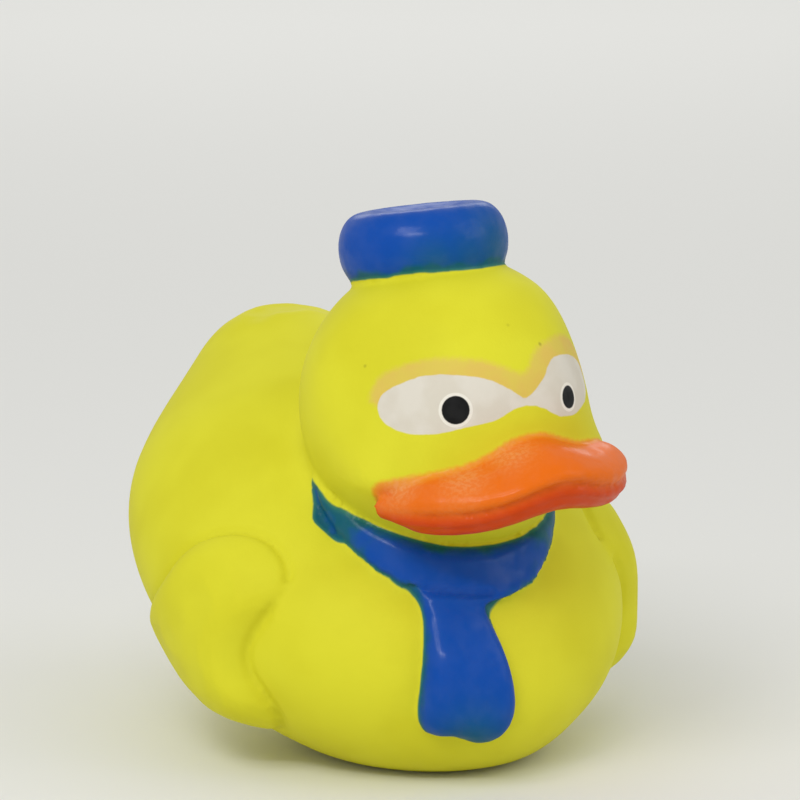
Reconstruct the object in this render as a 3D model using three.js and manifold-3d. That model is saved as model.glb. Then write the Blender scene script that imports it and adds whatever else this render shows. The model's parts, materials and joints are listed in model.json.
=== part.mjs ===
// A soft vinyl bath duck with a round cap and a scarf: one hollow moulding in vinyl, with the small
// whistle that such a toy carries pressed into the hole in its base.
// Millimetres, +Z up. The duck looks along -Y and its base stands on z = 0.
import * as THREE from 'three';
import { mergeVertices } from 'three/addons/utils/BufferGeometryUtils.js';
import Module from 'manifold-3d';

const wasm = await Module();
wasm.setup();

const vec = (x, y, z) => new THREE.Vector3(x, y, z);
const rad = THREE.MathUtils.degToRad;
const { lerp, clamp, smoothstep } = THREE.MathUtils;

// Sizes of the moulding
const WALL = 2.2;
const HEAD_RADIUS = 20.6;
const HEAD_CENTRE = vec(0, 0, 51);
// The temples are pressed a little flat, where the eyes are painted
const TEMPLE_FLAT = 1.2;
const TEMPLE_TURN = 58;
const TEMPLE_RISE = 18;
const TEMPLE_BLEND = 3;

// The body is an egg, longer than it is wide, whose upper part leans back
const BODY_RADII = vec(34, 34.2, 25.8);
const BODY_CENTRE = vec(0, 19.8, 24);
const BODY_RAKE = 0.59;
const NECK_FILLET = 5;
// A low heel under the egg carries its weight over a longer footprint
const HEEL_RADII = vec(20, 27.5, 14);
const HEEL_CENTRE = vec(0, 9.5, 11);
const HEEL_FILLET = 3;
// The underside is rounded towards a plane just below the floor, then trimmed flat on it
const BASE_ROUND = 3;
const BASE_TRIM = 0.8;

// The tail is a broad rounded hump swept up behind the head
const TAIL_ROOT = vec(0, 34, 31);
const TAIL_ROOT_RADIUS = 20;
const TAIL_TIP = vec(0, 47.6, 46.6);
const TAIL_TIP_RADIUS = 10.2;
const TAIL_BREADTH = 1.2;
const TAIL_FILLET = 10;

// The cheeks swell behind the bill
const CHEEK_RADII = vec(19.4, 12, 5.5);
const CHEEK_CENTRE = vec(0, -8, 44);
const CHEEK_FILLET = 4;

// Bill: one thick form round the front of the head, its mouth line drawn as a shallow crease
const BILL_HALF_WIDTH = 19.8;
const BILL_REACH = 29.6;
const BILL_CORNER_Y = -11;
const BILL_ROOT = 12.5;
// The bill points a little to the duck's left, and its left corner sits higher
const BILL_TURN = 2.6;
const BILL_ROLL = 3.8;
// Its mouth line is this high from the head's centre, and a hump in the middle lifts it
const MOUTH_LEVEL = -9.6;
const MOUTH_LIFT = 3.2;
const HUMP_SHARE = 0.42;
// Heights of the upper and lower lip at the sides, and what the hump adds
const UPPER_LIP = 4.9;
const UPPER_LIP_LIFT = -0.3;
const LOWER_LIP = 3.6;
const LOWER_LIP_LIFT = 1.5;
// The mouth line rises this far from the edge back to the face
const ROOT_LIFT = 1.4;
const MOUTH_CREASE = 0.05;

// Cap: a thick puffed cushion set a little back on the crown
const CAP_RADIUS = 11.9;
const CAP_SEAT_RADIUS = 10.6;
const CAP_HEIGHT = 9.4;
const CAP_DISH = 0.6;
const CAP_LEAN = 9;
const CAP_TILT = 1.8;
const CAP_SET_BACK = 2;
const CAP_SUNK = 3.5;

// Scarf: a crescent round the front of the neck, broadest at the knot, with one hanging end
const SCARF_WIDTH = 7.4;
const SCARF_WIDTH_ASIDE = 3.3;
const SCARF_THICKNESS = 2.8;
const SCARF_THICKNESS_ASIDE = 0.9;
// Its ends lie this far round the neck from the knot, which is off to the duck's right
const SCARF_SWEEP = 80;
const KNOT_TURN = -10;
// It laps this far onto the head above the crease of the neck
const SCARF_LAP = 1.7;
const TIE_SIDE = -6.8;
const TIE_TOP = 29;
const TIE_HEM = 7.2;
const TIE_WIDTH = 12.4;
const KNOT_WIDTH = 8.8;
const TIE_THICKNESS = 2.8;
const KNOT_THICKNESS = 1.7;

// Wings: raised leaves on the flanks, thickest at their shoulders
const WING_REAR = 33;
const WING_TOP = 34;
const WING_BOTTOM = 5.5;
const SHOULDER_THICKNESS = 3.2;
const WING_THICKNESS = 1.2;
const WING_FLARE = 1;

// What stands on the skin reaches this far into it
const SUNK = 1.1;

// Whistle in the base
const HOLE_RADIUS = 5.6;
const HOLE_Y = 9.5;
const RECESS_RADIUS = 8.4;
const RECESS_DEPTH = 1.4;
const FIT = 0.3;
const FLANGE_RADIUS = 7.6;
const FLANGE_THICKNESS = 0.9;
const HOUSING_WALL = 1;
const HOUSING_DEPTH = 10;
const BEAD = 1;
const AIR_HOLE_RADIUS = 1.2;
const REED_THICKNESS = 0.3;
const REED_WIDTH = 3.6;
const REED_LENGTH = 7;
const CHANNEL_WIDTH = 2;
const CHANNEL_DEPTH = 2.4;

// Every ray that measures the skin starts here, inside both head and body
const MIDDLE = vec(0, 8, 37);

const softMin = (a, b, reach) => {
  const overlap = Math.max(reach - Math.abs(a - b), 0) / reach;
  return Math.min(a, b) - (overlap * overlap * reach) / 4;
};
const softMax = (a, b, reach) => -softMin(-a, -b, reach);

function ellipsoid(p, centre, radii) {
  const q = p.clone().sub(centre).divide(radii);
  const steep = q.clone().divide(radii).length();
  return (q.length() * (q.length() - 1)) / Math.max(steep, 1e-9);
}

function taperedCapsule(p, from, to, fromRadius, toRadius) {
  const axis = to.clone().sub(from);
  const length = axis.length();
  const q = p.clone().sub(from);
  const along = q.dot(axis) / length;
  const aside = Math.sqrt(Math.max(q.lengthSq() - along * along, 0));
  const slope = (fromRadius - toRadius) / length;
  const t = clamp((along - (aside * slope) / Math.sqrt(1 - slope * slope)) / length, 0, 1);
  return Math.hypot(aside, along - t * length) - lerp(fromRadius, toRadius, t);
}

function headDepth(p) {
  const q = p.clone().sub(HEAD_CENTRE);
  const rise = rad(TEMPLE_RISE);
  const turn = rad(TEMPLE_TURN);
  const temple = Math.abs(q.x) * Math.sin(turn) * Math.cos(rise) - q.y * Math.cos(turn) * Math.cos(rise) + q.z * Math.sin(rise);
  const ball = softMax(q.length() - HEAD_RADIUS, temple - HEAD_RADIUS + TEMPLE_FLAT, TEMPLE_BLEND);
  return softMin(ball, ellipsoid(p, CHEEK_CENTRE, CHEEK_RADII), CHEEK_FILLET);
}

function bodyDepth(p) {
  const raked = vec(p.x, p.y - BODY_RAKE * (p.z - BODY_CENTRE.z), p.z);
  const narrowed = vec(p.x / TAIL_BREADTH, p.y, p.z);
  const tail = taperedCapsule(narrowed, TAIL_ROOT, TAIL_TIP, TAIL_ROOT_RADIUS, TAIL_TIP_RADIUS);
  const egg = softMin(ellipsoid(raked, BODY_CENTRE, BODY_RADII), tail, TAIL_FILLET);
  return softMin(egg, ellipsoid(p, HEEL_CENTRE, HEEL_RADII), HEEL_FILLET);
}

function skinDepth(p) {
  const duckDepth = softMin(headDepth(p), bodyDepth(p), NECK_FILLET);
  return softMax(duckDepth, -p.z - BASE_TRIM, BASE_ROUND);
}

// Where a value that rises from below zero to above it crosses zero
function crossing(low, high, rising) {
  for (let i = 0; i < 40; i++) {
    const mid = (low + high) / 2;
    if (rising(mid) < 0) low = mid;
    else high = mid;
  }
  return low;
}

// The point along a ray that lies a given height above the skin
function onSkin(direction, height = 0, from = MIDDLE) {
  const at = (t) => from.clone().addScaledVector(direction, t);
  return at(crossing(0, 90, (t) => skinDepth(at(t)) - height));
}

// Direction of a ray by its turn from the front and its rise
const ray = (turn, rise) => vec(Math.sin(turn) * Math.cos(rise), -Math.cos(turn) * Math.cos(rise), Math.sin(rise));

// A closed mesh from rings of points, each anticlockwise seen from where the rings lead.
// A ring of one point closes an end, and a looped loft runs from its last ring into its first.
function loft(rings, looped = false) {
  const index = [];
  const starts = [];
  const points = [];
  for (const ring of rings) {
    starts.push(points.length);
    points.push(...ring);
  }
  const bands = looped ? rings.length : rings.length - 1;
  for (let i = 0; i < bands; i++) {
    const next = (i + 1) % rings.length;
    const a = rings[i];
    const b = rings[next];
    const count = Math.max(a.length, b.length);
    for (let j = 0; j < count; j++) {
      const k = (j + 1) % count;
      const a0 = starts[i] + (a.length > 1 ? j : 0);
      const a1 = starts[i] + (a.length > 1 ? k : 0);
      const b0 = starts[next] + (b.length > 1 ? j : 0);
      const b1 = starts[next] + (b.length > 1 ? k : 0);
      const leansBack = points[a0].distanceTo(points[b1]) < points[a1].distanceTo(points[b0]);
      if (a.length === 1) index.push(a0, b1, b0);
      else if (b.length === 1) index.push(a0, a1, b0);
      else if (leansBack) index.push(a0, b1, b0, a0, a1, b1);
      else index.push(a0, a1, b0, a1, b1, b0);
    }
  }
  const geometry = new THREE.BufferGeometry().setFromPoints(points);
  geometry.setIndex(index);
  return geometry;
}

function circle(radius, z, sides) {
  const corner = (_, i) => vec(radius * Math.cos((2 * Math.PI * i) / sides), radius * Math.sin((2 * Math.PI * i) / sides), z);
  return Array.from({ length: sides }, corner);
}

// Solids carry the paint of the feature that they were made for through every join and cut
const PAINTS = { yellow: 0xdcd83a, orange: 0xe0640f, blue: 0x1b4fa8 };
const paintOf = new Map();

function solid(geometry, paint = 'yellow') {
  const bare = geometry.clone();
  bare.deleteAttribute('normal');
  bare.deleteAttribute('uv');
  const merged = mergeVertices(bare, 1e-4);
  const vertProperties = merged.attributes.position.array;
  const triVerts = new Uint32Array(merged.index.array);
  const made = new wasm.Manifold(new wasm.Mesh({ numProp: 3, vertProperties, triVerts })).asOriginal();
  paintOf.set(made.originalID(), paint);
  return made;
}

function meshOf(made, name, finish = {}) {
  const { vertProperties, triVerts, runIndex, runOriginalID } = made.getMesh();
  const geometry = new THREE.BufferGeometry();
  geometry.setAttribute('position', new THREE.BufferAttribute(vertProperties, 3));
  geometry.setIndex(new THREE.BufferAttribute(triVerts, 1));
  const paints = Object.keys(PAINTS);
  runOriginalID.forEach((id, run) => {
    geometry.addGroup(runIndex[run], runIndex[run + 1] - runIndex[run], paints.indexOf(paintOf.get(id)));
  });
  const materials = paints.map((paint) => new THREE.MeshStandardMaterial({ color: PAINTS[paint], roughness: 0.5, ...finish }));
  const mesh = new THREE.Mesh(geometry, finish.color ? materials[0] : materials);
  mesh.name = name;
  return mesh;
}

function skinNet(height, columns, rows) {
  const rings = [];
  for (let i = 0; i <= rows; i++) {
    const rise = Math.PI * (i / rows - 0.5);
    const ends = i === 0 || i === rows;
    const turns = Array.from({ length: ends ? 1 : columns }, (_, j) => (2 * Math.PI * (j + 0.5)) / columns);
    rings.push(turns.map((turn) => onSkin(ray(turn, rise), height)));
  }
  return solid(loft(rings));
}

// A raised patch: the outline is drawn flat, cast on the skin along rays, and crowned
const SOFT_CROWN = [[1, 0.08], [0.94, 0.42], [0.87, 0.72], [0.78, 0.92], [0.6, 1], [0.25, 1]];
const FULL_CROWN = [[1, 0.35], [0.95, 0.66], [0.86, 0.88], [0.7, 1], [0.35, 1]];
function relief(outline, centre, cast, thickness, shares, paint) {
  const ring = (share, crown) => outline.map((point) => {
    const p = centre.clone().lerp(point, share);
    return cast(p, crown < 0 ? -SUNK : crown * thickness(p));
  });
  const rings = [[cast(centre, -SUNK)], ring(0.5, -1), ring(1, -1)];
  for (const [share, crown] of shares) rings.push(ring(share, crown));
  rings.push([cast(centre, thickness(centre))]);
  return solid(loft(rings), paint);
}

const flat = (points) => points.map(([x, y]) => new THREE.Vector2(x, y));
function smoothLoop(points, divisions) {
  const curve = new THREE.CatmullRomCurve3(points.map((p) => vec(p.x, p.y, 0)), true, 'centripetal');
  return curve.getSpacedPoints(divisions).slice(0, -1).map((p) => new THREE.Vector2(p.x, p.y));
}

function wing(side) {
  // Rear point, upper edge, shoulder, the notch in front, and the lower lobe, as (y, z)
  const outline = smoothLoop(flat([
    [WING_REAR, 15.5], [26.4, 20.2], [18.9, 26.6], [14.4, 32.3], [9, WING_TOP], [3.8, 32.7], [0, 29.3],
    [-0.6, 27], [1, 23.2], [2.7, 18.7], [2.5, 14.4], [0.9, 10.6], [2.6, 6.8], [9, WING_BOTTOM], [20, 6], [29, 9.5],
  ]), 44);
  if (side < 0) outline.reverse();
  const cast = (p, height) => onSkin(vec(side, 0, 0), height, vec(0, p.x, p.y));
  const flare = (z) => WING_FLARE * (1 - smoothstep(z, 10, 24));
  const thickness = (p) => lerp(SHOULDER_THICKNESS, WING_THICKNESS, smoothstep(p.x, 4, 28)) + flare(p.y);
  return relief(outline, new THREE.Vector2(14, 20), cast, thickness, SOFT_CROWN, 'yellow');
}

function tie() {
  // The hanging end flares from the knot to a wavy hem, as (x, z)
  const wide = TIE_WIDTH / 2;
  const knot = KNOT_WIDTH / 2;
  const drop = TIE_TOP - TIE_HEM;
  const outline = smoothLoop(flat([
    [-knot, TIE_TOP], [-knot * 0.92, TIE_TOP - drop * 0.16], [-wide * 0.8, TIE_TOP - drop * 0.36],
    [-wide, TIE_TOP - drop * 0.66], [-wide * 1.02, TIE_HEM + 3.4], [-wide * 0.8, TIE_HEM + 1.1], [-wide * 0.3, TIE_HEM + 0.9],
    [wide * 0.25, TIE_HEM - 0.5], [wide * 0.7, TIE_HEM + 0.4], [wide * 0.95, TIE_HEM + 3.2], [wide, TIE_TOP - drop * 0.66],
    [wide * 0.86, TIE_TOP - drop * 0.36], [knot, TIE_TOP - drop * 0.16], [knot, TIE_TOP],
  ]).map((p) => p.add(new THREE.Vector2(TIE_SIDE, 0))), 36);
  const cast = (p, height) => onSkin(vec(0, -1, 0), height, vec(p.x, MIDDLE.y, p.y));
  const centre = new THREE.Vector2(TIE_SIDE, (TIE_TOP + TIE_HEM) / 2);
  const thickness = (p) => lerp(TIE_THICKNESS, KNOT_THICKNESS, smoothstep(p.y, TIE_TOP - drop * 0.45, TIE_TOP - drop * 0.2));
  return relief(outline, centre, cast, thickness, FULL_CROWN, 'blue');
}

// The rise at which the skin turns from body to head, seen from the middle
function neckRise(turn) {
  const atNeck = (rise) => {
    const p = onSkin(ray(turn, rise));
    return bodyDepth(p) - headDepth(p);
  };
  return crossing(rad(-60), rad(80), atNeck);
}

function scarf() {
  const stations = 44;
  const section = 9;
  const rings = [];
  for (let i = 0; i <= stations; i++) {
    const along = (2 * i) / stations - 1;
    const turn = rad(KNOT_TURN + SCARF_SWEEP * along);
    const end = Math.sqrt(1 - Math.abs(along) ** 6);
    const front = Math.cos(rad(90) * along) ** 2.5;
    const width = lerp(SCARF_WIDTH_ASIDE, SCARF_WIDTH, front) * end;
    const thickness = lerp(SCARF_THICKNESS_ASIDE, SCARF_THICKNESS, front) * end;
    const neck = neckRise(turn);
    const upper = neck + SCARF_LAP / onSkin(ray(turn, neck)).distanceTo(MIDDLE);
    const edge = onSkin(ray(turn, upper));
    const lower = -crossing(-upper, -upper + rad(60), (fall) => onSkin(ray(turn, -fall)).distanceTo(edge) - width);
    if (end === 0) {
      rings.push([onSkin(ray(turn, upper), -SUNK)]);
      continue;
    }
    const ring = [];
    for (let j = section; j >= 0; j--) {
      const share = (1 - Math.cos((Math.PI * j) / section)) / 2;
      const bulge = Math.sin((Math.PI * j) / section) ** 0.7;
      ring.push(onSkin(ray(turn, lerp(lower, upper, share)), j % section ? thickness * bulge : -SUNK));
    }
    rings.push(ring);
  }
  return solid(loft(rings), 'blue');
}

// Sections across the bill from one corner to the other, rounded off towards both corners
function bill() {
  const stations = 30;
  const sides = 24;
  const rings = [];
  for (let i = 0; i <= stations; i++) {
    const turn = rad(90) * Math.sin(rad(90) * ((2 * i) / stations - 1));
    const aside = Math.sin(turn);
    const ahead = Math.cos(turn) ** 1.25;
    const hump = Math.exp(-((aside / HUMP_SHARE) ** 2));
    const round = Math.max(Math.sqrt(1 - Math.abs(aside) ** 14), 0.5);
    const upper = (UPPER_LIP + UPPER_LIP_LIFT * hump) * round;
    const lower = (LOWER_LIP + LOWER_LIP_LIFT * hump) * round;
    const level = HEAD_CENTRE.z + MOUTH_LEVEL + MOUTH_LIFT * hump;
    const edge = vec(BILL_HALF_WIDTH * aside, lerp(BILL_CORNER_Y, -BILL_REACH, ahead), level);
    const root = vec(BILL_ROOT * aside, lerp(BILL_CORNER_Y, -BILL_ROOT, ahead), level + ROOT_LIFT * hump);
    // From the face over the upper lip to the mouth line, and under the lower lip back to the face
    const section = [
      [0, upper * 0.9], [0.35, upper], [0.66, upper * 0.93], [0.88, upper * 0.66], [1, upper * 0.28], [1 - MOUTH_CREASE, 0],
      [0.97, -lower * 0.32], [0.88, -lower * 0.72], [0.66, -lower * 0.97], [0.32, -lower * 0.95], [0, -lower * 0.8],
    ].map(([share, lift]) => root.clone().lerp(edge, share).add(vec(0, 0, lift)));
    rings.push(new THREE.CatmullRomCurve3(section, true, 'centripetal').getPoints(sides).slice(0, -1));
  }
  const middleOf = (ring) => ring.reduce((sum, p) => sum.addScaledVector(p, 1 / sides), vec(0, 0, 0));
  const [start, end] = [rings[0], rings[stations]].map((ring) => [middleOf(ring)]);
  const turned = loft([start, ...rings, end]).translate(0, 0, -HEAD_CENTRE.z);
  turned.rotateY(rad(-BILL_ROLL)).rotateZ(rad(BILL_TURN)).translate(0, 0, HEAD_CENTRE.z);
  return solid(turned, 'orange');
}

function onCrown(geometry) {
  geometry.rotateX(rad(-CAP_LEAN)).rotateY(rad(-CAP_TILT));
  return geometry.translate(HEAD_CENTRE.x, HEAD_CENTRE.y + CAP_SET_BACK, HEAD_CENTRE.z);
}

function cap(inset = 0) {
  const seat = Math.sqrt(HEAD_RADIUS ** 2 - CAP_SEAT_RADIUS ** 2);
  const height = CAP_HEIGHT - inset;
  const side = CAP_RADIUS - inset;
  const seatRadius = CAP_SEAT_RADIUS - inset;
  const foot = seat - CAP_SUNK - inset;
  const puffed = new THREE.SplineCurve(flat([
    [seatRadius, seat], [lerp(seatRadius, side, 0.72), seat + height * 0.18], [side, seat + height * 0.44],
    [side * 0.96, seat + height * 0.72], [side * 0.84, seat + height * 0.93], [side * 0.66, seat + height], [side * 0.36, seat + height - CAP_DISH],
  ])).getPoints(12);
  const rings = [[vec(0, 0, foot)], circle(seatRadius - 1, foot, 40)];
  for (const p of puffed) rings.push(circle(p.x, p.y, 40));
  rings.push([vec(0, 0, seat + height - CAP_DISH)]);
  return solid(onCrown(loft(rings)), 'blue');
}

const turned = (profile) => solid(new THREE.LatheGeometry(flat(profile), 36).rotateX(rad(90)));

function block(width, depth, height, x, y, z) {
  return solid(new THREE.BoxGeometry(width, depth, height).translate(x, y, z + height / 2));
}

// Levels in the base: the recess roof, the inside of the wall above it, and the whistle's floor
const SEAT_LEVEL = RECESS_DEPTH + WALL;
const FLANGE_TOP = RECESS_DEPTH - FIT;
const NECK_RADIUS = HOLE_RADIUS - FIT;
const BORE_RADIUS = NECK_RADIUS - HOUSING_WALL;
const FLOOR_TOP = FLANGE_TOP + FIT;
const HOUSING_TOP = FLANGE_TOP + HOUSING_DEPTH;

function moulding() {
  const below = 5;
  const span = 4 * (BODY_RADII.y + HEAD_RADIUS);
  const features = [cap(), bill(), wing(1), wing(-1), scarf(), tie()];
  const outside = features.reduce((made, feature) => made.add(feature), skinNet(0, 56, 38));
  const pad = turned([[0, -below], [RECESS_RADIUS + WALL, -below], [RECESS_RADIUS + WALL, SEAT_LEVEL], [0, SEAT_LEVEL]]);
  const inside = skinNet(-WALL, 36, 24).add(cap(WALL)).subtract(pad.translate(0, HOLE_Y, 0));
  const recess = turned([[0, -below], [RECESS_RADIUS, -below], [RECESS_RADIUS, RECESS_DEPTH], [0, RECESS_DEPTH]]);
  const hole = turned([[0, -below], [HOLE_RADIUS, -below], [HOLE_RADIUS, SEAT_LEVEL + below], [0, SEAT_LEVEL + below]]);
  const underFloor = block(span, span, below, 0, 0, -below);
  return [inside, recess.translate(0, HOLE_Y, 0), hole.translate(0, HOLE_Y, 0), underFloor].reduce((made, cut) => made.subtract(cut), outside);
}

// The whistle's cup: a flange under the base, a neck through the hole and a snap bead above it
function housing() {
  const bead = SEAT_LEVEL + FIT;
  return turned([
    [AIR_HOLE_RADIUS, FLANGE_TOP - FLANGE_THICKNESS],
    [FLANGE_RADIUS, FLANGE_TOP - FLANGE_THICKNESS],
    [FLANGE_RADIUS, FLANGE_TOP],
    [NECK_RADIUS, FLANGE_TOP],
    [NECK_RADIUS, bead],
    [NECK_RADIUS + BEAD, bead],
    [NECK_RADIUS + BEAD, bead + BEAD * 0.6],
    [NECK_RADIUS, bead + BEAD * 2],
    [NECK_RADIUS, HOUSING_TOP],
    [BORE_RADIUS, HOUSING_TOP],
    [BORE_RADIUS, FLOOR_TOP],
    [AIR_HOLE_RADIUS, FLOOR_TOP],
    [AIR_HOLE_RADIUS, FLANGE_TOP - FLANGE_THICKNESS],
  ]);
}

// The plug in the cup: an air channel down its length, and a slot beside it that holds the reed
function reedBlock() {
  const foot = FLOOR_TOP + FIT;
  const radius = BORE_RADIUS - FIT;
  const plug = turned([[0, foot], [radius, foot], [radius, HOUSING_TOP], [0, HOUSING_TOP]]);
  const slotFloor = HOUSING_TOP - REED_LENGTH;
  const slot = block(REED_WIDTH + 2 * FIT, REED_THICKNESS + 2 * FIT, REED_LENGTH + 1, 0, 0, slotFloor);
  const channel = block(CHANNEL_WIDTH, CHANNEL_DEPTH, HOUSING_TOP, 0, -CHANNEL_DEPTH / 2, 0);
  return plug.subtract(slot).subtract(channel);
}

const reed = () => block(REED_WIDTH, REED_THICKNESS, REED_LENGTH - FIT, 0, 0, HOUSING_TOP - REED_LENGTH + FIT);

const duck = new THREE.Group();
duck.add(meshOf(moulding(), 'duck_shell'));
const whistle = new THREE.Group();
whistle.position.y = HOLE_Y;
whistle.add(meshOf(housing(), 'squeaker_housing', { color: 0xe9e6dc }));
whistle.add(meshOf(reedBlock(), 'reed_block', { color: 0xd8d4c6 }));
whistle.add(meshOf(reed(), 'squeaker_reed', { color: 0xb9bcc0 }));
duck.add(whistle);

// The part's origin is under the middle of its outline
const outline = new THREE.Box3().setFromObject(duck);
duck.position.y = -(outline.min.y + outline.max.y) / 2;
export default duck;
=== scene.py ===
# %% [markdown]
# # A painted vinyl bath duck
# The real toy is one hollow shell of soft vinyl, cast in a rotating mould and painted by spray and brush.
# A small whistle is pressed into its base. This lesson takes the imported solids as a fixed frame, models
# the moulded skin finely over them, lays the paints on as maps in millimetres and lights the duck softly.

# %% Frame
import json
import math

import bpy
import numpy as np
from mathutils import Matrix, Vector, kdtree

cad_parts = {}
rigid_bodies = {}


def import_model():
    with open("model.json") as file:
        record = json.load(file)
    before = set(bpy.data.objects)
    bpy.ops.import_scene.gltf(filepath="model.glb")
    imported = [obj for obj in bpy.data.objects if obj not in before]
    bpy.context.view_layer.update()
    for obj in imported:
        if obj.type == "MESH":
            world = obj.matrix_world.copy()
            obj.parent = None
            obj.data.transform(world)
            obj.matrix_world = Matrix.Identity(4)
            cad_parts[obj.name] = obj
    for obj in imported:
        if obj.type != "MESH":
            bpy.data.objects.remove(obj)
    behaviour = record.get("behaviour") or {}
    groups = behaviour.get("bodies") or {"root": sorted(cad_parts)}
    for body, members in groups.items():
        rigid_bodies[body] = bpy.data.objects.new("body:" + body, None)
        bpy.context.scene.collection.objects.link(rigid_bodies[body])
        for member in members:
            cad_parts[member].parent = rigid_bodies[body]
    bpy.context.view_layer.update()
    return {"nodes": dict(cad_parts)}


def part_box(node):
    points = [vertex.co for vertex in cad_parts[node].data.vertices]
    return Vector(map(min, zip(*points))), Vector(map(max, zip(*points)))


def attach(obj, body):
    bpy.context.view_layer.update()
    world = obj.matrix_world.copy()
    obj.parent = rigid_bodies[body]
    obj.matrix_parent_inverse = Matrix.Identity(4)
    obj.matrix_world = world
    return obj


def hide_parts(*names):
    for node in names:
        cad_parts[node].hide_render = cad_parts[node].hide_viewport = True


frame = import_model()
MM = 0.001

# %% [markdown]
# ## Where things are
# The solids were drawn with the head's centre over the origin, and then moved so that the whole duck's
# outline is centred. The whistle tells how far: its axis was drawn at a known place.

# %% Measures of the frame
WHISTLE_Y = 9.5
HEAD_HEIGHT = 51.0
HEAD_RADIUS = 20.6
whistle_low, whistle_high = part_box("squeaker_housing")
moved_y = (whistle_low.y + whistle_high.y) / 2 / MM - WHISTLE_Y
head_centre = Vector((0, moved_y, HEAD_HEIGHT)) * MM
print(f"the head's centre is at y = {moved_y:.2f} mm")

# %% [markdown]
# ## Camera
# The photograph was taken from the duck's right, a little above it, and from far away, so a long lens
# is used. The head lies a little right of the picture's middle, and the lens shift puts it there.

# %% Camera at the photograph's place
PHOTO_SIZE = 800
LENS_PIXELS = 5760
HEAD_RIGHT_PIXELS = 47
HEAD_BELOW_PIXELS = 2
SENSOR_MM = 36
CAMERA_TURN = math.radians(-30)
CAMERA_RISE = math.radians(12)
CAMERA_DISTANCE = 0.8


def direction(turn, rise):
    """Unit vector that is turned from the duck's front, and raised above level."""
    return Vector((math.sin(turn) * math.cos(rise), -math.cos(turn) * math.cos(rise), math.sin(rise)))


towards = direction(CAMERA_TURN, CAMERA_RISE)
bpy.ops.object.camera_add(location=head_centre + towards * CAMERA_DISTANCE)
camera = bpy.context.object
camera.name = "photo_camera"
camera.rotation_mode = "QUATERNION"
camera.rotation_quaternion = (-towards).to_track_quat("-Z", "Y")
camera.data.sensor_width = SENSOR_MM
camera.data.lens = SENSOR_MM * LENS_PIXELS / PHOTO_SIZE
camera.data.shift_x = -HEAD_RIGHT_PIXELS / PHOTO_SIZE
camera.data.shift_y = HEAD_BELOW_PIXELS / PHOTO_SIZE
camera.data.clip_start = 0.05
camera.data.clip_end = 20
bpy.context.scene.camera = camera
print(f"a lens of {camera.data.lens:.0f} mm, {CAMERA_DISTANCE * 1000:.0f} mm from the head")


# %% [markdown]
# ## The bare skin, as a formula
# The head is a ball with pressed temples and swelling cheeks, and the body is a leaning egg with a tail
# and a heel. Each form tells how far a point lies outside it, and soft joins blend them as clay would.
# The result measures how far any point of the mesh stands proud of the bare skin: that height finds the
# cap, bill, scarf and wings again, and it lets plain skin be laid exactly on the smooth form.

# %% Measures of the bare skin, in millimetres
TEMPLE_FLAT = 1.2
TEMPLE_TURN = math.radians(58)
TEMPLE_RISE = math.radians(18)
TEMPLE_BLEND = 3
CHEEK_CENTRE = (0, -8, 44)
CHEEK_RADII = (19.4, 12, 5.5)
CHEEK_FILLET = 4
BODY_CENTRE = (0, 19.8, 24)
BODY_RADII = (34, 34.2, 25.8)
BODY_RAKE = 0.59
TAIL_ROOT = (0, 34, 31)
TAIL_TIP = (0, 47.6, 46.6)
TAIL_ROOT_RADIUS = 20
TAIL_TIP_RADIUS = 10.2
TAIL_BREADTH = 1.2
TAIL_FILLET = 10
HEEL_CENTRE = (0, 9.5, 11)
HEEL_RADII = (20, 27.5, 14)
HEEL_FILLET = 3
NECK_FILLET = 5
BASE_TRIM = 0.8
BASE_ROUND = 3


# %% Forms and soft joins
def soft_min(a, b, reach):
    """Join two forms, with a fillet where both lie within reach of each other."""
    overlap = np.maximum(reach - np.abs(a - b), 0) / reach
    return np.minimum(a, b) - overlap * overlap * reach / 4


def soft_max(a, b, reach):
    return -soft_min(-a, -b, reach)


def egg(points, centre, radii):
    """About how far each point lies outside an egg with three radii."""
    scaled = (points - centre) / radii
    size = np.linalg.norm(scaled, axis=1)
    steep = np.linalg.norm(scaled / radii, axis=1)
    return size * (size - 1) / np.maximum(steep, 1e-9)


def hump(points, start, end, start_radius, end_radius):
    """How far each point lies outside a cone with round ends."""
    axis = np.subtract(end, start)
    length = np.linalg.norm(axis)
    offset = points - start
    along = offset @ axis / length
    aside = np.sqrt(np.maximum((offset**2).sum(axis=1) - along**2, 0))
    slope = (start_radius - end_radius) / length
    share = np.clip((along - aside * slope / math.sqrt(1 - slope**2)) / length, 0, 1)
    return np.hypot(aside, along - share * length) - (start_radius + (end_radius - start_radius) * share)


# %% The duck without bill, cap, scarf and wings
def head_depth(points):
    offset = points - (0, 0, HEAD_HEIGHT)
    level = np.abs(offset[:, 0]) * math.sin(TEMPLE_TURN) - offset[:, 1] * math.cos(TEMPLE_TURN)
    temple = level * math.cos(TEMPLE_RISE) + offset[:, 2] * math.sin(TEMPLE_RISE)
    ball = np.linalg.norm(offset, axis=1) - HEAD_RADIUS
    pressed = soft_max(ball, temple - HEAD_RADIUS + TEMPLE_FLAT, TEMPLE_BLEND)
    return soft_min(pressed, egg(points, CHEEK_CENTRE, CHEEK_RADII), CHEEK_FILLET)


def body_depth(points):
    raked = points - np.outer(points[:, 2] - BODY_CENTRE[2], (0, BODY_RAKE, 0))
    narrowed = points / (TAIL_BREADTH, 1, 1)
    tail = hump(narrowed, TAIL_ROOT, TAIL_TIP, TAIL_ROOT_RADIUS, TAIL_TIP_RADIUS)
    leaning = soft_min(egg(raked, BODY_CENTRE, BODY_RADII), tail, TAIL_FILLET)
    return soft_min(leaning, egg(points, HEEL_CENTRE, HEEL_RADII), HEEL_FILLET)


def skin_depth(points):
    """Height of each point over the bare skin, negative inside."""
    duck = soft_min(head_depth(points), body_depth(points), NECK_FILLET)
    return soft_max(duck, -points[:, 2] - BASE_TRIM, BASE_ROUND)


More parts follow.
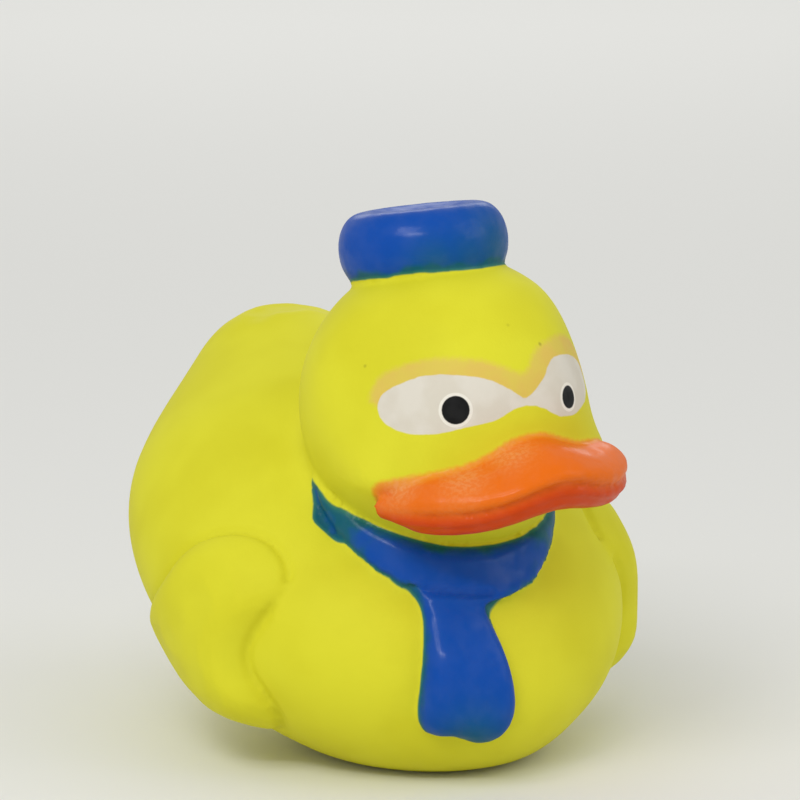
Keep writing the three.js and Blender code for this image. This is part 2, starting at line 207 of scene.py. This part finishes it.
# %% Reading and writing a mesh's points, in the millimetres of the formula
def read_points(mesh):
    flat = np.empty(len(mesh.vertices) * 3)
    mesh.vertices.foreach_get("co", flat)
    return flat.reshape(-1, 3) / MM - (0, moved_y, 0)


def write_points(mesh, points):
    mesh.vertices.foreach_set("co", ((points + (0, moved_y, 0)) * MM).ravel())
    mesh.update()


def smooth_step(value, low, high):
    """A share that rises from 0 at low to 1 at high, with no corner."""
    share = np.clip((value - low) / (high - low), 0, 1)
    return share * share * (3 - 2 * share)


# %% Choosing one object
def only(piece):
    bpy.ops.object.select_all(action="DESELECT")
    piece.select_set(True)
    bpy.context.view_layer.objects.active = piece


# %% [markdown]
# ## The moulded shell
# Vinyl has no sharp edges: the mould is an electroformed copy of a wax original, and everything on it
# is a little rounded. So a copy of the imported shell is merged, its whistle hole is plugged, and the
# whole is remeshed in steps of about half a millimetre, which is like casting it again in one skin.

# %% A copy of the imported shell, with its hole plugged
VOXEL = 0.55
PLUG_RADIUS = 6.6
PLUG_DEPTH = 2
PLUG_HEIGHT = 2.5
only(frame["nodes"]["duck_shell"])
bpy.ops.object.duplicate()
shell = bpy.context.object
shell.name = "vinyl_shell"
shell.data = shell.data.copy()
bpy.ops.object.parent_clear(type="CLEAR_KEEP_TRANSFORM")
bpy.ops.object.mode_set(mode="EDIT")
bpy.ops.mesh.select_all(action="SELECT")
bpy.ops.mesh.remove_doubles(threshold=1e-7)
bpy.ops.object.mode_set(mode="OBJECT")
plug_place = (0, (WHISTLE_Y + moved_y) * MM, PLUG_HEIGHT * MM)
bpy.ops.mesh.primitive_cylinder_add(
    vertices=48, radius=PLUG_RADIUS * MM, depth=PLUG_DEPTH * MM, location=plug_place
)
plug = bpy.context.object
only(shell)
plug.select_set(True)
bpy.ops.object.join()
shell.data.remesh_voxel_size = VOXEL * MM
bpy.ops.object.voxel_remesh()
print(f"remeshed shell: {len(shell.data.vertices)} points")

# %% [markdown]
# The remesh gives two skins, the outer one and the wall's inner side, which nobody sees. The outer one
# is found by growing a selection from its highest point.

# %% Keep the outer skin
bpy.ops.object.mode_set(mode="EDIT")
bpy.ops.mesh.select_all(action="DESELECT")
bpy.ops.object.mode_set(mode="OBJECT")
heights = read_points(shell.data)[:, 2]
shell.data.vertices[int(heights.argmax())].select = True
bpy.ops.object.mode_set(mode="EDIT")
bpy.ops.mesh.select_linked()
bpy.ops.mesh.select_all(action="INVERT")
bpy.ops.mesh.delete(type="VERT")
bpy.ops.object.mode_set(mode="OBJECT")
print(f"outer skin: {len(shell.data.vertices)} points")


# %% [markdown]
# ## Laying the skin on its form
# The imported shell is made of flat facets. Where nothing stands on the skin, each point is moved along
# the form's slope until it lies exactly on it, so the highlights run smoothly over head and back.
# Bill, cap, scarf and wings are softened by a smoothing weighted to them alone.

# %% Plain skin onto the formula
def slope(points, step=0.05):
    columns = [skin_depth(points + offset) - skin_depth(points - offset) for offset in np.eye(3) * step]
    gradient = np.stack(columns, axis=1) / (2 * step)
    return gradient / np.maximum(np.linalg.norm(gradient, axis=1, keepdims=True), 1e-9)


def lay_on_form(points):
    height = skin_depth(points)
    plain = 1 - smooth_step(np.abs(height), 0.3, 0.6)
    plain *= smooth_step(points[:, 2], 0.3, 1.5)
    return points - slope(points) * (height * plain)[:, None]


points = read_points(shell.data)
points = lay_on_form(points)
write_points(shell.data, points)
print(f"laid on the form: {int((np.abs(skin_depth(points)) < 0.01).sum())} points")

# %% Mark what stands on the skin
WEIGHT_STEPS = 5
proud = smooth_step(skin_depth(points), 0.2, 0.7)
group = shell.vertex_groups.new(name="proud")
for step in range(1, WEIGHT_STEPS + 1):
    chosen = np.nonzero(np.round(proud * WEIGHT_STEPS) == step)[0]
    group.add(chosen.tolist(), step / WEIGHT_STEPS, "REPLACE")
print(f"standing on the skin: {int((proud > 0.5).sum())} points")


# %% Soften it first, and then blend the whole lightly
def smoothed(name, times, weights=""):
    modifier = shell.modifiers.new(name, "SMOOTH")
    modifier.vertex_group = weights
    modifier.iterations = times
    modifier.factor = 0.5
    bpy.ops.object.modifier_apply(modifier=name)


only(shell)
smoothed("soften", 5, "proud")
smoothed("blend", 6)

# %% [markdown]
# ## Pressed creases
# The remesh closes the finest creases, so they are pressed in again: the mouth line with a fold under
# it, the fold where the loose end leaves the scarf, and the groove round each wing. Each is a narrow
# bell of depth across a line, and it moves the points against their normals, like a modelling tool.

# %% Read the normals and the skin once more
points = read_points(shell.data)
height = skin_depth(points)
normals = np.empty(len(points) * 3)
shell.data.vertex_normals.foreach_get("vector", normals)
normals = normals.reshape(-1, 3)


def bell(offset, width):
    """A smooth bump of height 1 at no offset."""
    return np.exp(-((offset / width) ** 2))


# %% Evening a value out along the mesh's edges
mesh_edges = np.empty(len(shell.data.edges) * 2, dtype=int)
shell.data.edges.foreach_get("vertices", mesh_edges)
mesh_edges = mesh_edges.reshape(-1, 2)
neighbours = np.bincount(mesh_edges.ravel(), minlength=len(points))


def evened(values, times):
    for _ in range(times):
        sums = np.bincount(mesh_edges[:, 0], values[mesh_edges[:, 1]], len(points))
        sums += np.bincount(mesh_edges[:, 1], values[mesh_edges[:, 0]], len(points))
        values = 0.5 * values + 0.5 * sums / neighbours
    return values


# %% Distance to the crease where a raised form leaves the skin
CREASE_HEIGHT = 0.28
CREASE_EVENED = 14


def distance_to_crease(zone, reach=6):
    """Distance of each point to the crease in a zone, positive on the raised side."""
    a, b = mesh_edges[zone[mesh_edges].all(axis=1)].T
    even = evened(height, CREASE_EVENED)
    crosses = (even[a] > CREASE_HEIGHT) != (even[b] > CREASE_HEIGHT)
    a, b = a[crosses], b[crosses]
    share = (CREASE_HEIGHT - even[a]) / (even[b] - even[a])
    crease = points[a] + (points[b] - points[a]) * share[:, None]
    tree = kdtree.KDTree(len(crease))
    for k, place in enumerate(crease):
        tree.insert(place, k)
    tree.balance()
    nearby = ((points > crease.min(axis=0) - reach) & (points < crease.max(axis=0) + reach)).all(axis=1)
    side = np.where(zone & (even > CREASE_HEIGHT), 1.0, -1.0)
    signed = side * reach
    for k in np.nonzero(nearby)[0]:
        signed[k] = side[k] * min(tree.find(points[k])[2], reach)
    print(f"crease of {len(crease)} crossings, {int((signed > 0).sum())} points inside")
    return signed


# %% The mouth line, in the bill's own turned frame
BILL_TURN = math.radians(2.6)
BILL_ROLL = math.radians(3.8)
BILL_HALF_WIDTH = 19.8
BILL_LOW = -14.8
BILL_HIGH = 2
HUMP_SHARE = 0.42
MOUTH_LEVEL = -9.6
MOUTH_LIFT = 3.2
MOUTH_DEPTH = 0.5
MOUTH_WIDTH = 0.4
LIP_FOLD_DEPTH = 0.28
LIP_FOLD_WIDTH = 0.5
LIP_FOLD_BELOW = 2.1
x, y, z = (points - (0, 0, HEAD_HEIGHT)).T
aside = x * math.cos(BILL_TURN) + y * math.sin(BILL_TURN)
level = z * math.cos(BILL_ROLL) - aside * math.sin(BILL_ROLL)
mouth = MOUTH_LEVEL + MOUTH_LIFT * bell(aside / BILL_HALF_WIDTH, HUMP_SHARE)
on_bill = smooth_step(height, 0.8, 1.8) * (y < -9) * (z > BILL_LOW) * (z < BILL_HIGH)
on_bill *= smooth_step(BILL_HALF_WIDTH - np.abs(aside), 1, 5)
dents = on_bill * MOUTH_DEPTH * bell(level - mouth, MOUTH_WIDTH)
dents += on_bill * LIP_FOLD_DEPTH * bell(level - mouth + LIP_FOLD_BELOW, LIP_FOLD_WIDTH)

# %% The groove round each wing
GROOVE_DEPTH = 0.5
GROOVE_WIDTH = 0.65
wing_zone = (np.abs(points[:, 0]) > 12) & (points[:, 2] < 40) & (points[:, 2] > 1) & (points[:, 1] > 0)
dents += GROOVE_DEPTH * bell(distance_to_crease(wing_zone), GROOVE_WIDTH) * wing_zone

# %% The fold between the scarf and its loose end
LOOSE_END_X = -6.8
LOOSE_END_WIDTH = 9.0
FOLD_HEIGHT = 27.6
FOLD_SLOPE = 0.12
FOLD_DEPTH = 0.7
FOLD_WIDTH = 0.5
fold_line = FOLD_HEIGHT - FOLD_SLOPE * (points[:, 0] - LOOSE_END_X)
on_tie = (np.abs(points[:, 0] - LOOSE_END_X) < LOOSE_END_WIDTH / 2 + 1) & (points[:, 1] < 0)
dents += on_tie * smooth_step(height, 0.6, 1.4) * FOLD_DEPTH * bell(points[:, 2] - fold_line, FOLD_WIDTH)
write_points(shell.data, points - normals * dents[:, None])
print(f"pressed {int((dents > 0.05).sum())} points, at most {dents.max():.2f} mm deep")

# %% [markdown]
# ## Paint maps
# The painter's edges are drawn in millimetres. Eyes, brow and the bill's upper edge lie on the head, so
# their outlines are unrolled from it: across is the turn round the head and up is the rise, both as
# lengths on its surface. Every point of the skin gets its distance to each edge, positive inside the
# paint, and the material later decides how sharp or ragged that edge is.

# %% Unroll the head
points = read_points(shell.data)
height = skin_depth(points)
from_head = points - (0, 0, HEAD_HEIGHT)
across = HEAD_RADIUS * np.arctan2(from_head[:, 0], -from_head[:, 1])
up = HEAD_RADIUS * np.arctan2(from_head[:, 2], np.hypot(from_head[:, 0], from_head[:, 1]))
unrolled = np.stack([across, up], axis=1)
on_face = (from_head[:, 1] < -2) & (np.linalg.norm(from_head, axis=1) < HEAD_RADIUS + 3)


# %% Smooth outlines and the distance to them
def rounded(corners, steps=8):
    """A closed smooth curve through the corners."""
    corners = np.array(corners, dtype=float)
    share = np.arange(steps)[:, None] / steps
    curve = []
    for i in range(len(corners)):
        a, b, c, d = (corners[(i + k) % len(corners)] for k in (-1, 0, 1, 2))
        curve.append(
            b
            + 0.5 * share * (c - a)
            + share**2 * (a - 2.5 * b + 2 * c - 0.5 * d)
            + share**3 * (-0.5 * a + 1.5 * b - 1.5 * c + 0.5 * d)
        )
    return np.concatenate(curve)


def inside_distance(places, outline):
    """Distance of each place to a closed outline, positive inside it."""
    nearest = np.full(len(places), 1e9)
    crossings = np.zeros(len(places), dtype=int)
    for a, b in zip(outline, np.roll(outline, -1, axis=0)):
        edge = b - a
        share = np.clip((places - a) @ edge / max(edge @ edge, 1e-12), 0, 1)
        nearest = np.minimum(nearest, np.linalg.norm(places - a - share[:, None] * edge, axis=1))
        spans = (a[1] > places[:, 1]) != (b[1] > places[:, 1])
        reach = a[0] + (places[:, 1] - a[1]) * edge[0] / (edge[1] if edge[1] else 1e-12)
        crossings += spans & (places[:, 0] < reach)
    return np.where(crossings % 2 == 1, nearest, -nearest)


# %% Outlines of the face's paint, in millimetres round and up the head
NEAR_EYE = [
    (-21.4, 3.3), (-20.8, 5.1), (-17.8, 6.8), (-14.2, 8.0), (-9.6, 8.0), (-5.2, 7.3), (-2.2, 5.9),
    (0.9, 3.6), (-1.4, 2.8), (-4.1, 1.6), (-7.7, 0.9), (-11.7, 0.0), (-16.0, -0.3), (-19.4, 0.5),
    (-20.9, 1.7),
]
FAR_EYE = [
    (0.1, 3.6), (2.5, 5.1), (4.7, 6.8), (6.0, 8.1), (7.8, 9.0), (11.5, 9.0), (15.4, 8.2), (19.2, 6.8),
    (21.0, 5.0), (20.6, 3.0), (17.4, 1.8), (13.4, 1.1), (9.5, 0.6), (6.3, 1.1), (3.2, 2.7),
]
BROW = [
    (-23.0, 3.6), (-22.7, 6.2), (-21.4, 8.0), (-18.0, 9.6), (-12.7, 10.6), (-6.4, 10.2), (-2.5, 9.1),
    (0.4, 7.9), (1.9, 8.3), (3.2, 9.9), (5.8, 11.3), (10.9, 12.0), (15.5, 11.6), (20.2, 10.0),
    (23.0, 7.4), (23.6, 4.4), (19.0, 3.6), (9.0, 4.0), (0.6, 3.4), (-9.0, 4.0), (-19.0, 3.0),
]
BILL_ON_FACE = [
    (-21.0, -8.6), (-20.5, -6.9), (-19.5, -6.3), (-16.9, -5.8), (-11.3, -4.8), (-8.1, -4.2),
    (-5.3, -3.2), (-3.0, -2.2), (-1.2, -1.5), (1.3, -1.2), (3.9, -1.4), (7.0, -2.3), (9.1, -3.4),
    (12.5, -4.7), (16.8, -5.4), (19.8, -6.4), (21.2, -8.6), (20.0, -11.0), (13.0, -9.4), (6.0, -6.8),
    (0.4, -6.0), (-5.0, -6.8), (-12.0, -10.4), (-19.6, -12.8), (-21.1, -11.4),
]
NEAR_PUPIL = (-9.6, 3.2)
NEAR_PUPIL_RADIUS = 1.95
FAR_PUPIL = (9.1, 3.2)
FAR_PUPIL_RADIUS = 1.6

# %% Distances on the face
FAR_OFF = -9.0
face = np.nonzero(on_face)[0]
maps = {name: np.full(len(points), FAR_OFF) for name in ("eye", "brow", "pupil", "bill", "blue")}
eyes = [inside_distance(unrolled[face], rounded(outline)) for outline in (NEAR_EYE, FAR_EYE)]
maps["eye"][face] = np.maximum(*eyes)
maps["brow"][face] = inside_distance(unrolled[face], rounded(BROW))
near = NEAR_PUPIL_RADIUS - np.linalg.norm(unrolled[face] - NEAR_PUPIL, axis=1)
far = FAR_PUPIL_RADIUS - np.linalg.norm(unrolled[face] - FAR_PUPIL, axis=1)
maps["pupil"][face] = np.maximum(near, far)
on_lips = inside_distance(unrolled[face], rounded(BILL_ON_FACE))
print(f"the face has {len(face)} points")

# %% [markdown]
# The bill, the cap and the scarf are painted up to the crease where they leave the skin. That edge is
# found on the mesh itself: where an edge of the mesh crosses the crease, the crossing's place is worked
# out, and every point's distance to the nearest crossing gives a smooth line, with no steps.

# %% Distances to the creases
CAP_FROM = 12
SCARF_TOP = 44
bill_zone = (from_head[:, 1] < -7) & (from_head[:, 2] > BILL_LOW) & (from_head[:, 2] < BILL_HIGH)
cap_zone = from_head[:, 2] > CAP_FROM
scarf_zone = (np.abs(points[:, 0]) < 24) & (points[:, 1] < 14) & ~bill_zone
scarf_zone &= (points[:, 2] < SCARF_TOP) & (points[:, 2] > 2)
maps["bill"] = distance_to_crease(bill_zone)
maps["bill"][face] = np.maximum(maps["bill"][face], on_lips)
maps["blue"] = np.maximum(distance_to_crease(cap_zone), distance_to_crease(scarf_zone))

# %% Where the blue was brushed on thinly, and where a highlight is painted on the bill's top
THIN_SPOTS = (
    ((-6, -8, 71.5), 4), ((1, -10.5, 72), 5.5), ((7, -8, 73), 6.5),
    ((-18.5, 0, 38), 4), ((17, -9, 34), 6), ((-7, -19, 7), 5),
)
# Spots of painted highlight: pale freckles on the bill's top, where it faces the lamps
BILL_HIGHLIGHT_SPOTS = (((-15.5, -15, 43), 2.6), ((-9, -21, 43.6), 3.4), ((-2.5, -22, 47), 3.2))
for name, spots in (("thin", THIN_SPOTS), ("bill_painted_highlight", BILL_HIGHLIGHT_SPOTS)):
    reaches = [bell(np.linalg.norm(points - spot, axis=1), spread) for spot, spread in spots]
    maps[name] = np.max(reaches, axis=0)
# Share under the mouth line that turns darker and redder: thicker paint, and painted shade of the
# downward-facing lower lip
maps["under"] = smooth_step(mouth - level, -0.7, 1.1)


# %% Two strokes of the brush carry the blue past the scarf's raised end
def along_stroke(start, end, wide, narrow):
    """How far inside a tapering stroke each point lies."""
    way = np.subtract(end, start)
    share = np.clip((points - start) @ way / (way @ way), 0, 1)
    nearest = start + share[:, None] * way
    return wide + (narrow - wide) * share - np.linalg.norm(points - nearest, axis=1)


STROKE_START = (-17.0, -0.8, 35.0)
STROKE_BEND = (-18.0, 2.4, 36.7)
STROKE_END = (-17.5, 6.6, 40.5)
tip = along_stroke(STROKE_BEND, STROKE_END, 2.0, 0.6)
tip = np.maximum(tip, along_stroke(STROKE_START, STROKE_BEND, 2.0, 2.0))

# %% Shift the edges a little, and even them out along the mesh
ORANGE_OVERLAP = 0.15
BLUE_STOPS_SHORT = 0.34
BARE_CHIN = 0.3
BARE_FOOT = 0.5
chin_side = smooth_step(z, -22, -20) * (z < -10) * smooth_step(-y, 6, 12)
cap_foot = smooth_step(-x, 1, 8) * (z > CAP_FROM)
maps["bill"] = evened(maps["bill"] + ORANGE_OVERLAP, 10)
maps["blue"] -= BLUE_STOPS_SHORT + BARE_CHIN * chin_side + BARE_FOOT * cap_foot
maps["blue"] = evened(np.maximum(evened(maps["blue"], 30), tip), 3)

# %% Store the maps on the mesh
for name, values in maps.items():
    layer = shell.data.attributes.new(name, "FLOAT", "POINT")
    layer.data.foreach_set("value", values.astype(np.float32))
    print(f"{name}: {int((values > 0).sum())} points inside")


# %% [markdown]
# ## Materials
# Soft PVC is slightly waxy: coloured through, matte from the mould, with a broad gentle sheen. The
# paints are solvent based and dry glossier than the vinyl. Blue is brushed, orange and the pale brow
# are sprayed, which leaves a ragged fading edge, and the eyes are tampon printed with a clean edge.

# %% Colours, and one helper that adds a node
def linear(hex_colour):
    """A colour as the shader wants it, from its sRGB hex code."""
    channels = [int(hex_colour[i : i + 2], 16) / 255 for i in (1, 3, 5)]
    return [c / 12.92 if c <= 0.04045 else ((c + 0.055) / 1.055) ** 2.4 for c in channels] + [1]


def node(tree, kind, inputs=None, **settings):
    """Add a shader node, with its inputs linked or set."""
    made = tree.nodes.new("ShaderNode" + kind)
    for name, value in settings.items():
        setattr(made, name, value)
    for key, value in (inputs or {}).items():
        if isinstance(value, bpy.types.NodeSocket):
            tree.links.new(value, made.inputs[key])
        else:
            made.inputs[key].default_value = value
    return made


# %% The vinyl's material, with short words for its nodes
vinyl = bpy.data.materials.new("painted_soft_pvc")
vinyl.use_nodes = True
tree = vinyl.node_tree
surface = tree.nodes["Principled BSDF"]
place = node(tree, "TexCoord").outputs["Object"]


def read_map(name):
    return node(tree, "Attribute", attribute_name=name).outputs["Fac"]


def noise(scale_mm, detail=2.0, roughness=0.5):
    inputs = {"Vector": place, "Scale": 1 / (scale_mm * MM), "Detail": detail, "Roughness": roughness}
    return node(tree, "TexNoise", inputs).outputs["Fac"]


def maths(operation, a, b=0.0, c=0.0):
    return node(tree, "Math", {0: a, 1: b, 2: c}, operation=operation).outputs[0]


def faded(value, low, high):
    inputs = {"Value": value, "From Min": low, "From Max": high}
    return node(tree, "MapRange", inputs, interpolation_type="SMOOTHSTEP").outputs["Result"]


def mixed(share, under, over):
    made = node(tree, "Mix", data_type="RGBA")
    for socket, value in ((made.inputs[0], share), (made.inputs[6], under), (made.inputs[7], over)):
        if isinstance(value, bpy.types.NodeSocket):
            tree.links.new(value, socket)
        else:
            socket.default_value = value
    return made.outputs[2]


# %% Bare vinyl, whose colour wanders a little, as pigment does in a casting
cloud = faded(noise(14), 0.35, 0.65)
colour = mixed(cloud, linear("#D8D32A"), linear("#DEDA30"))
print(f"bare vinyl: {len(tree.nodes)} nodes")

# %% Sprayed peach over the eyes, with a soft and speckled edge
speckle = maths("SUBTRACT", noise(0.6, 3.0), 0.5)
brow_edge = maths("MULTIPLY_ADD", speckle, 0.9, read_map("brow"))
brow_share = maths("MULTIPLY", faded(brow_edge, -0.5, 0.9), 0.74)
peach = mixed(faded(noise(4), 0.35, 0.65), linear("#DDBF60"), linear("#E0B665"))
colour = mixed(brow_share, colour, peach)

# %% Printed white of the eyes, with a hand's wobble on the edge
wobble = maths("MULTIPLY", maths("SUBTRACT", noise(1.6), 0.5), 0.35)
eye_share = faded(maths("ADD", read_map("eye"), wobble), -0.12, 0.12)
eye_white = mixed(faded(noise(5), 0.4, 0.6), linear("#D9D2C3"), linear("#DFD9CC"))
colour = mixed(eye_share, colour, eye_white)

# %% [markdown]
# The orange is thin and yellowish at its edge. Under the mouth line it is darker and redder: a thicker
# spray, with painted shade on the lower lip, which faces down.
# The blue lets the vinyl show through where it thins out, and yellow under blue looks green.

# %% Sprayed orange of the bill
ragged = maths("MULTIPLY", maths("SUBTRACT", noise(0.8, 3.0, 0.6), 0.5), 0.5)
bill_edge = maths("ADD", read_map("bill"), ragged)
bill_share = faded(bill_edge, -0.4, 0.35)
thick = faded(bill_edge, -0.1, 1.6)
orange = mixed(thick, linear("#EA9A1A"), linear("#E96C02"))
# Painted highlight: pale freckles of light on the bill's top, over the orange
highlight_freckles = maths("MULTIPLY_ADD", faded(noise(0.55, 2.0), 0.4, 0.65), 0.4, 0.35)
bill_painted_highlight = maths("MULTIPLY", read_map("bill_painted_highlight"), highlight_freckles)
orange = mixed(bill_painted_highlight, orange, linear("#EDA263"))
# Darker red under the mouth line: thicker paint, and painted shade on the downward-facing lower lip
orange = mixed(maths("MULTIPLY", read_map("under"), 0.9), orange, linear("#CB3C00"))
colour = mixed(bill_share, colour, orange)

# %% Brushed blue of cap and scarf
blue_wobble = maths("MULTIPLY", maths("SUBTRACT", noise(3.5, 2.0), 0.5), 0.3)
blue_edge = maths("ADD", read_map("blue"), blue_wobble)
blue_share = faded(blue_edge, -0.14, 0.14)
cover = faded(maths("MULTIPLY_ADD", maths("SUBTRACT", noise(5, 2.0), 0.5), 4.5, blue_edge), 0.0, 1.6)
cover = maths("SUBTRACT", cover, maths("MULTIPLY", read_map("thin"), 0.9))
blue = mixed(cover, linear("#035A6E"), linear("#0049A8"))
blue = mixed(faded(blue_edge, 0.6, -0.1), blue, linear("#357C60"))
colour = mixed(blue_share, colour, blue)

# %% Pupils, each in a ring of cleaner white
pupil_map = read_map("pupil")
colour = mixed(faded(pupil_map, -0.5, -0.36), colour, mixed(eye_share, colour, linear("#EDE8DC")))
pupil_share = faded(pupil_map, -0.08, 0.08)
colour = mixed(pupil_share, colour, linear("#0A0A0B"))

# %% Three small dark specks in the vinyl of brow and temple, each with its radius and strength
SPECKS = (
    ((4.88, -16.92, 10.69), 0.32, 0.5),
    ((-16.55, -6.32, 7.94), 0.28, 0.35),
    ((0.62, -15.54, 13.51), 0.3, 0.2),
)
for spot, radius, strength in SPECKS:
    centre = head_centre + Vector(spot) * MM
    away = node(tree, "VectorMath", {0: place, 1: centre}, operation="DISTANCE").outputs["Value"]
    speck_share = maths("MULTIPLY", faded(away, radius * 1.4 * MM, 0.0), strength)
    colour = mixed(speck_share, colour, linear("#5E5A12"))

# %% Bare vinyl is nearly matte, and the paints lie on it as a glossier coat
painted = maths("MAXIMUM", maths("MAXIMUM", bill_share, blue_share), pupil_share)
patchy = faded(noise(2.2, 3.0), 0.3, 0.7)
coat = maths("MULTIPLY", painted, maths("MULTIPLY_ADD", patchy, 0.28, 0.1))
tree.links.new(colour, surface.inputs["Base Color"])
tree.links.new(coat, surface.inputs["Coat Weight"])
surface.inputs["Coat Roughness"].default_value = 0.18
surface.inputs["Coat IOR"].default_value = 1.5
surface.inputs["Roughness"].default_value = 0.6
surface.inputs["Specular IOR Level"].default_value = 0.12

# %% Fine tooth of the mould on bare vinyl, and the lumps of brushed and sprayed paint
tooth = maths("MULTIPLY", noise(0.35, 2.0), maths("SUBTRACT", 1.0, painted))
lumps = maths("MULTIPLY", noise(1.6, 3.0), painted)
grain = maths("MULTIPLY_ADD", lumps, 3.0, tooth)
bump = node(tree, "Bump", {"Height": grain, "Strength": 0.35, "Distance": 0.05 * MM})
tree.links.new(bump.outputs["Normal"], surface.inputs["Normal"])
print(f"painted vinyl: {len(tree.nodes)} nodes")

# %% The finished shell takes the place of its solid
shell.data.materials.clear()
shell.data.materials.append(vinyl)
only(shell)
bpy.ops.object.shade_smooth()
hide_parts("duck_shell")
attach(shell, "root")

# %% [markdown]
# ## Whistle
# The cup and its plug are injection moulded in natural polyethylene, a milky, slightly waxy white. The
# reed is a punched strip of clear film. Their solids have the right shape, so they only get a finish.


# %% Whistle plastics
def moulded(name, hex_colour, rough):
    made = bpy.data.materials.new(name)
    made.use_nodes = True
    tree = made.node_tree
    surface = tree.nodes["Principled BSDF"]
    place = node(tree, "TexCoord").outputs["Object"]
    drift = node(tree, "TexNoise", {"Vector": place, "Scale": 250, "Detail": 2.0}).outputs["Fac"]
    ramp = node(tree, "ValToRGB", {"Fac": drift})
    base = linear(hex_colour)
    ramp.color_ramp.elements[0].color = [c * 0.93 for c in base[:3]] + [1]
    ramp.color_ramp.elements[1].color = base
    fine = node(tree, "TexNoise", {"Vector": place, "Scale": 2500, "Detail": 1.0}).outputs["Fac"]
    bump = node(tree, "Bump", {"Height": fine, "Strength": 0.2, "Distance": 0.02 * MM})
    tree.links.new(ramp.outputs["Color"], surface.inputs["Base Color"])
    tree.links.new(bump.outputs["Normal"], surface.inputs["Normal"])
    surface.inputs["Roughness"].default_value = rough
    return made


polyethylene = moulded("moulded_polyethylene", "#E6E2D6", 0.45)
film = moulded("punched_polyester_film", "#B9BCBE", 0.15)
finishes = {"squeaker_housing": polyethylene, "reed_block": polyethylene, "squeaker_reed": film}
for name, finish in finishes.items():
    piece = frame["nodes"][name]
    piece.data.materials.clear()
    piece.data.materials.append(finish)
    print(f"{name}: {finish.name}")

# %% [markdown]
# ## Stage
# A pale floor and four soft lights, as in a product photographer's tent: a broad one above on the left,
# a weaker one on the right, a strip in front that draws the streaks on the paint, and a low one behind
# that gives the cap's top its pale sheen.

# %% Floor
bpy.ops.mesh.primitive_plane_add(size=12, location=(0, 0, 0))
floor = bpy.context.object
floor.name = "floor"
paper = bpy.data.materials.new("matte_backdrop_paper")
paper.use_nodes = True
paper_surface = paper.node_tree.nodes["Principled BSDF"]
paper_surface.inputs["Base Color"].default_value = linear("#E9E9E6")
paper_surface.inputs["Roughness"].default_value = 0.9
floor.data.materials.append(paper)


# %% Lights: degrees round and up, then distance, width and height in metres, and watts
def softbox(name, turn_degrees, rise_degrees, far, width, height, power):
    """A soft rectangle of light that faces the head."""
    out = direction(math.radians(turn_degrees), math.radians(rise_degrees))
    bpy.ops.object.light_add(type="AREA", location=head_centre + out * far)
    lamp = bpy.context.object
    lamp.name = name
    lamp.rotation_mode = "QUATERNION"
    lamp.rotation_quaternion = (-out).to_track_quat("-Z", "Y")
    lamp.data.shape = "RECTANGLE"
    lamp.data.size = width
    lamp.data.size_y = height
    lamp.data.energy = power
    print(f"{name}: {power} W")


softbox("key_softbox", -62, 45, 0.7, 0.3, 0.3, 1.3)
softbox("fill_softbox", 50, 32, 0.9, 0.6, 0.6, 1.1)
softbox("strip_light", -40, 38, 0.7, 0.3, 0.04, 0.6)
softbox("rear_softbox", 152, 18, 0.9, 0.6, 0.3, 0.75)

# %% The tent's own light, and colours shown as they are
world = bpy.data.worlds.new("tent")
world.use_nodes = True
bpy.context.scene.world = world
background = world.node_tree.nodes["Background"]
background.inputs["Color"].default_value = linear("#F4F4F2")
background.inputs["Strength"].default_value = 0.68
bpy.context.scene.view_settings.view_transform = "Standard"
